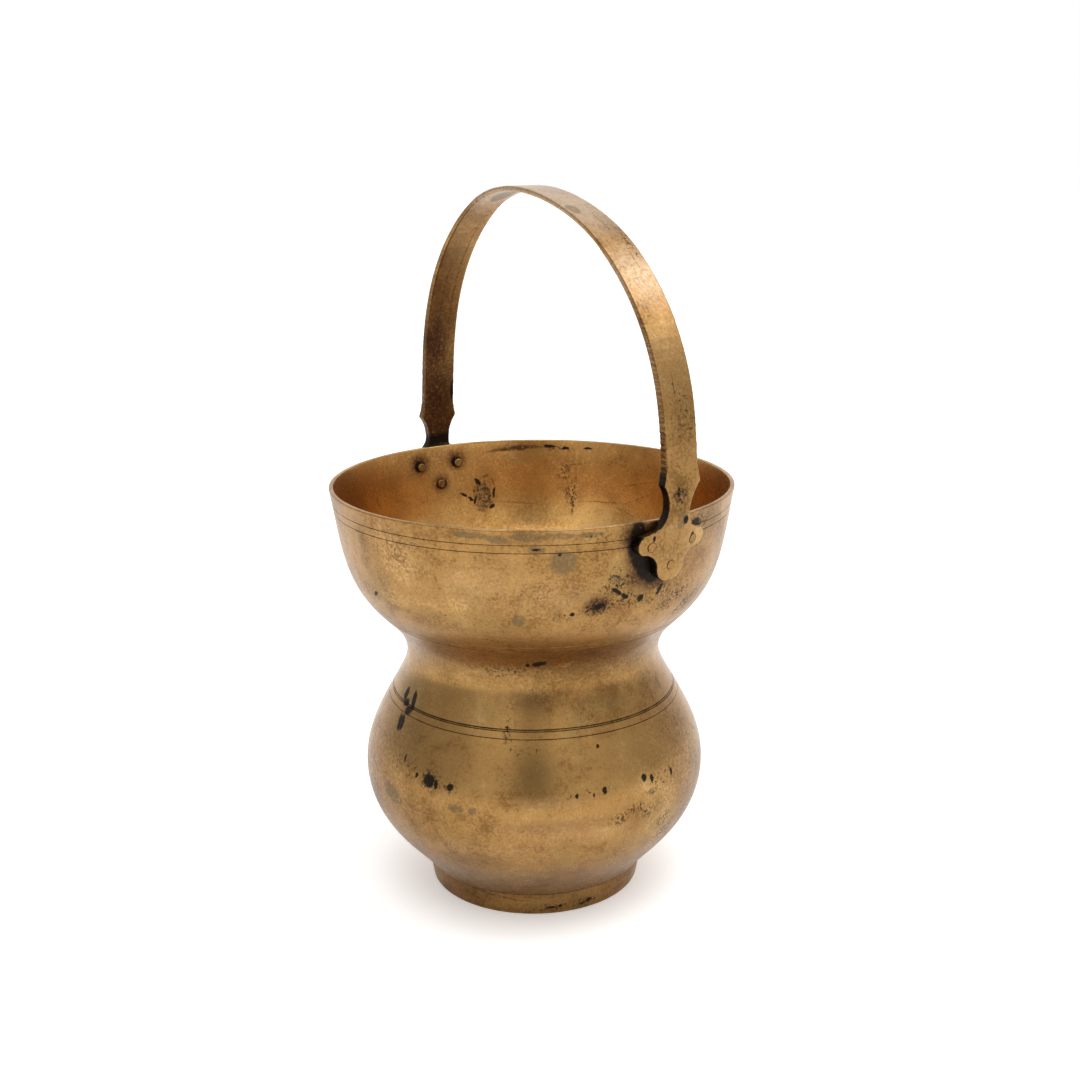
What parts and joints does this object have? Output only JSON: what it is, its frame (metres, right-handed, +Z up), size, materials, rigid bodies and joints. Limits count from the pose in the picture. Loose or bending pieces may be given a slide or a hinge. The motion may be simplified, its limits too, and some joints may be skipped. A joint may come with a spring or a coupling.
{
  "type": "waisted pail",
  "caption": "Aged brass pail with an open flared bowl over a narrow waist and a round bulb on a foot ring, and a fixed strap handle arching over the mouth.",
  "frame": {"origin": "on the vessel's axis at the underside of the foot ring, where the pail stands", "axes": "+Z up along the vessel's axis, +X towards the front lug of the handle, which arches over the mouth from +X to -X"},
  "size_m": [0.1737, 0.1648, 0.2899],
  "materials": {
    "bowl_brass": "aged satin, mottled brown patina",
    "bulb_brass": "aged satin, mottled brown patina",
    "foot_brass": "aged satin, mottled brown patina",
    "handle_brass": "aged satin, mottled brown patina",
    "rivet_brass": "dull brown patina"
  },
  "bodies": {
    "root": {"upper_bowl": "bowl_brass", "lower_bulb": "bulb_brass", "foot_ring": "foot_brass", "handle_strap": "handle_brass", "rivet_front_left": "rivet_brass", "rivet_front_right": "rivet_brass", "rivet_front_low": "rivet_brass", "rivet_back_left": "rivet_brass", "rivet_back_right": "rivet_brass", "rivet_back_low": "rivet_brass"}
  },
  "joints": []
}
